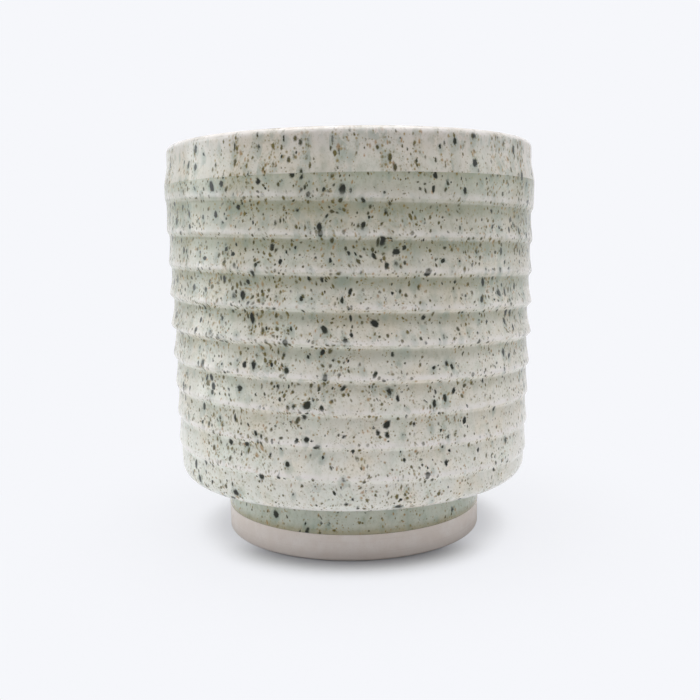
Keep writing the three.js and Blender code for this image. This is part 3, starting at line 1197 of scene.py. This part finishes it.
@dataclass(frozen=True)
class GlazeRecipes:
    """The bowl's four glazes, tinted towards their edges. Heights are in millimetres.

    Attributes:
        line: Height of the glaze's lower end, on the foot.
        base: Height of the wall's lower end.
        dip: Height of the rim band's lower end.
        rim: Height of the rim.
    """

    line: float
    base: float
    dip: float
    rim: float

    def wall(self) -> SpeckledGlaze:
        """Gives the ridged wall's glaze: darker towards the top as painted shade, greener below the dip
        line, and paler low down, with painted light from the table and a painted highlight on the lower
        edge.

        Returns:
            The glaze.
        """
        return SpeckledGlaze(GlazeZone.WALL, tints=(
            # Painted shade: the upper wall darkens towards the top, where less light falls.
            HeightTint(self.base + 25, self.dip, 0.85, srgb(197, 194, 179)),
            HeightTint(self.dip - 5, self.dip, 0.3, srgb(186, 191, 168)),
            # A paler glaze low on the wall, brightened further as painted light from the white table below.
            HeightTint(self.base + 20, self.base + 3, 0.85, srgb(249, 246, 238)),
            # Painted highlight: a near-white line along the lower edge, for the table's reflection there.
            HeightTint(self.base + 2.4, self.base + 0.8, 0.9, srgb(255, 252, 247)),
        ))

    def rim_band(self) -> SpeckledGlaze:
        """Gives the rim's glaze, whose specks are rustier and run down in columns, and which thins and pales
        at the lip, partly as a painted highlight.

        Returns:
            The glaze.
        """
        return SpeckledGlaze(
            GlazeZone.RIM,
            middle_tone=srgb(221, 215, 204),
            runs=replace(BLEED_RUNS, full=0.26, upright=0.1),
            drifts=replace(SPECK_DRIFTS, scale=1 / 3.4, start=0.1, full=1.9, upright=0.12),
            layers=(
                DUST_SPECKS,
                replace(RUST_SPECKS, presence=0.8, stretch=2.2),
                replace(OLIVE_SPECKS, presence=0.55),
                replace(GREEN_SPECKS, presence=0.2, stretch=1.8),
                replace(BLACK_SPECKS, presence=0.16),
            ),
            tints=(HeightTint(self.dip + 3, self.rim - 1, 0.5, srgb(221, 212, 205)),),
            # The glaze thins and pales towards the lip: thin glaze, and partly a painted highlight.
            thin_edge_and_highlight=(self.rim - 2.2, self.rim - 0.3),
            lean=1.2,
            veil=0.75,
        )

    def liner(self) -> SpeckledGlaze:
        """Gives the inside's glaze."""
        return SpeckledGlaze(GlazeZone.LINER)

    def foot(self) -> SpeckledGlaze:
        """Gives the glaze on the foot, which has fewer specks and darkens towards the body, as painted shade
        and pooled glaze.

        Returns:
            The glaze.
        """
        return SpeckledGlaze(
            GlazeZone.FOOT,
            middle_tone=srgb(198, 201, 188),
            runs=replace(BLEED_RUNS, full=0.6),
            layers=(
                replace(DUST_SPECKS, presence=0.3),
                replace(RUST_SPECKS, presence=0.2),
                replace(OLIVE_SPECKS, presence=0.4),
                replace(GREEN_SPECKS, presence=0.3),
                replace(BLACK_SPECKS, presence=0.5),
            ),
            tints=(
                HeightTint(self.line + 2.2, self.line + 0.3, 0.75, srgb(168, 158, 126)),
                # Darker towards the top of the foot, under the body: painted shade, and glaze that pools
                # there.
                HeightTint(self.base - 3.0, self.base - 0.8, 0.8, srgb(126, 130, 108)),
            ),
            veil=0.0,
        )


@dataclass(frozen=True)
class Softbox:
    """One square lamp with its power in watts, which faces the height on the bowl's axis that is its aim."""

    name: str
    place: tuple[float, float, float]
    side: float
    power: float
    tone: tuple[float, float, float] = (1.0, 1.0, 1.0)
    aim: float = 0.045

    def build(self) -> bpy.types.Object:
        """Makes the lamp.

        Returns:
            The lamp's object.
        """
        lamp = bpy.data.lights.new(self.name, "AREA")
        lamp.size = self.side
        lamp.energy = self.power
        lamp.color = self.tone
        stand = add_object(self.name, lamp)
        stand.location = self.place
        facing = Vector((0, 0, self.aim)) - Vector(self.place)
        stand.rotation_euler = facing.to_track_quat("-Z", "Y").to_euler()
        return stand


@dataclass
class Studio:
    """A pale table and backdrop in even light.

    Attributes:
        foot_radius: Radius of the foot that stands on the table.
        backdrop: The colour of the backdrop and of the table.
        painted_shadow_tone: Painted shadow: the table's colour, darkened where the foot touches it.
        painted_shadow_reach: Distance from the foot at which the painted shadow ends and the table has its
            own colour.
        table_radius: How far the table reaches.
        table_sides: How many sides it has.
        table_gap: How far it lies below the foot.
        front: Where its front lies: from beside the bowl to straight before it, as sines.
        side_glow: Share of backdrop that the table shows right beside the foot.
        near_glow: Share that it shows once clear of the foot.
        side_reach: Distance from the foot at which it does, to the sides.
        front_reach: The same distance, in front.
        far_reach: Distance at which the table has turned into backdrop.
        ambient: Strength of the light from above.
        horizon: Strength of the light from low all round.
        horizon_top: How high the low light reaches, in degrees.
        lamps: The lamps.
    """

    foot_radius: float
    backdrop: Colour = srgb(246, 247, 251)
    painted_shadow_tone: Colour = srgb(206, 208, 215)
    painted_shadow_reach: float = 6 * MM
    table_radius: float = 2.0
    table_sides: int = 64
    table_gap: float = 0.02 * MM
    front: Span = (-0.4, -0.95)
    side_glow: float = 0.5
    near_glow: float = 0.85
    side_reach: float = 10 * MM
    front_reach: float = 12 * MM
    far_reach: float = 70 * MM
    ambient: float = 0.06
    horizon: float = 0.79
    horizon_top: float = 35.0
    lamps: tuple[Softbox, ...] = (
        Softbox("left_softbox", (-0.55, 0.03, 0.16), 0.35, 0.97, DAYLIGHT),
        Softbox("right_softbox", (0.55, 0.03, 0.16), 0.35, 0.42, DAYLIGHT),
        Softbox("top_softbox", (0.0, -0.02, 0.60), 0.5, 3.3),
    )

    @staticmethod
    def seen_directly(sketch: NodeSketch) -> Socket:
        """Tells rays that look at the backdrop from rays that carry light.

        Args:
            sketch: The tree.

        Returns:
            1 for camera, glossy and transmission rays, and 0 for others.
        """
        rays = sketch.add("ShaderNodeLightPath").outputs
        shown = sketch.math("MAXIMUM", rays["Is Camera Ray"], rays["Is Glossy Ray"])
        return sketch.math("MAXIMUM", shown, rays["Is Transmission Ray"])

    def build_world(self) -> None:
        """Makes the backdrop and the light from all round."""
        world = bpy.data.worlds.new("studio")
        world.use_nodes = True
        bpy.context.scene.world = world
        sketch = NodeSketch(world.node_tree)
        world.node_tree.nodes.clear()
        ahead = sketch.add("ShaderNodeTexCoord").outputs["Generated"]
        climb = sketch.add("ShaderNodeSeparateXYZ", {0: ahead}).outputs[2]
        top = math.sin(math.radians(self.horizon_top))
        level = sketch.smoothstep(climb, 0.0, top, self.horizon, self.ambient)
        white = srgb(255, 255, 255)
        light = sketch.add("ShaderNodeBackground", {"Color": white, "Strength": level}).outputs[0]
        shown = sketch.add("ShaderNodeBackground", {"Color": self.backdrop, "Strength": 1.0}).outputs[0]
        mixed = sketch.add("ShaderNodeMixShader", {0: self.seen_directly(sketch), 1: light, 2: shown})
        sketch.add("ShaderNodeOutputWorld", {0: mixed.outputs[0]})

    def paper(self) -> bpy.types.Material:
        """Makes the table's surface: the bowl's shadow, a painted shadow round the foot, and backdrop
        further away.

        Returns:
            The material.
        """
        sketch = MaterialSketch("table_paper")
        away = sketch.add("ShaderNodeVectorMath", {0: sketch.place}, operation="LENGTH").outputs["Value"]
        clear = sketch.math("SUBTRACT", away, self.foot_radius / MM)
        # Painted shadow: the table darkens towards the foot, within a short reach of it.
        shade = sketch.smoothstep(clear, 0.0, self.painted_shadow_reach / MM)
        tone = sketch.blend(shade, self.painted_shadow_tone, self.backdrop)
        sketch.feed(sketch.shader, {"Base Color": tone, "Roughness": 0.9, "Specular IOR Level": 0.1})
        front = sketch.smoothstep(sketch.math("DIVIDE", sketch.axes[1], away), *self.front)
        reach = sketch.smoothstep(front, 0.0, 1.0, self.side_reach / MM, self.front_reach / MM)
        start = sketch.smoothstep(front, 0.0, 1.0, self.side_glow, 0.0)
        close_by = sketch.smoothstep(clear, 0.0, reach, start, self.near_glow)
        further = sketch.smoothstep(clear, reach, self.far_reach / MM, 0.0, 1 - self.near_glow)
        share = sketch.math("MULTIPLY", sketch.math("ADD", close_by, further), self.seen_directly(sketch))
        glow = sketch.add("ShaderNodeEmission", {"Color": self.backdrop, "Strength": 1.0}).outputs[0]
        mixed = sketch.add("ShaderNodeMixShader", {0: share, 1: sketch.shader.outputs[0], 2: glow})
        sketch.feed(sketch.output, {"Surface": mixed.outputs[0]})
        return sketch.material

    def build_table(self) -> None:
        """Makes the table."""
        angles = np.linspace(0, 2 * math.pi, self.table_sides, endpoint=False)
        corners = [(math.cos(a) * self.table_radius, math.sin(a) * self.table_radius, -self.table_gap)
                   for a in angles]
        mesh = bpy.data.meshes.new("table")
        mesh.from_pydata(corners, [], [tuple(range(len(corners)))])
        mesh.materials.append(self.paper())
        table = add_object("table", mesh)

    def build(self) -> None:
        """Makes the backdrop, the table and the lamps."""
        self.build_world()
        self.build_table()
        for lamp in self.lamps:
            lamp.build()
        LOG.info("studio has %d lamps", len(self.lamps))


@dataclass(frozen=True)
class PhotoCamera:
    """The camera that took the photograph, as its outlines show it.

    The image's width is in pixels and the sensor's in millimetres. The camera stands at a distance from the
    bowl's axis, looks down by the pitch and leans by the roll, both in degrees.
    """

    image_width: int = 700
    focal_pixels: float = 852.6
    sensor: float = 36.0
    sideways: float = -0.4 * MM
    distance: float = 206.4 * MM
    height: float = 68.1 * MM
    pitch: float = 7.22
    roll: float = -0.85
    nearest: float = 10 * MM

    def build(self) -> None:
        """Makes the camera and makes it the scene's own."""
        data = bpy.data.cameras.new("photo_camera")
        data.sensor_width = self.sensor
        data.lens = self.focal_pixels / self.image_width * self.sensor
        data.clip_start = self.nearest
        camera = add_object("photo_camera", data)
        turn = Matrix.Rotation(math.radians(90 - self.pitch), 4, "X")
        lean = Matrix.Rotation(math.radians(self.roll), 4, "Z")
        camera.matrix_world = Matrix.Translation((self.sideways, -self.distance, self.height)) @ turn @ lean
        bpy.context.scene.camera = camera


def main() -> None:
    """Builds the camera, the bowl's pieces and the studio."""
    logging.basicConfig(level=logging.INFO, format="%(message)s")
    bpy.context.scene.view_settings.view_transform = "Standard"
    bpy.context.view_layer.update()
    PhotoCamera().build()
    sizes = BowlSizes.packed()
    spiral = ThrowingSpiral(first_crest=sizes.rim_height - sizes.first_crest_drop, top=sizes.dip_line,
                            base=sizes.ridge_base, inner_limit=sizes.base_radius - sizes.ridge_margin)
    heights = (sizes.glaze_line, sizes.base_height, sizes.dip_line, sizes.rim_height)
    glazes = GlazeRecipes(*(height / MM for height in heights))
    ClayCore(sizes, spiral).build(BareClay("body_clay").material())
    GlazedWall(sizes, spiral).build(glazes.wall().material())
    RimBand(sizes).build(glazes.rim_band().material())
    InsideLiner(sizes).build(glazes.liner().material())
    FootRing(sizes).build(BareClay("foot_clay").material())
    FootBand(sizes).build(glazes.foot().material())
    Studio(sizes.foot_radius).build()


if __name__ == "__main__":
    main()
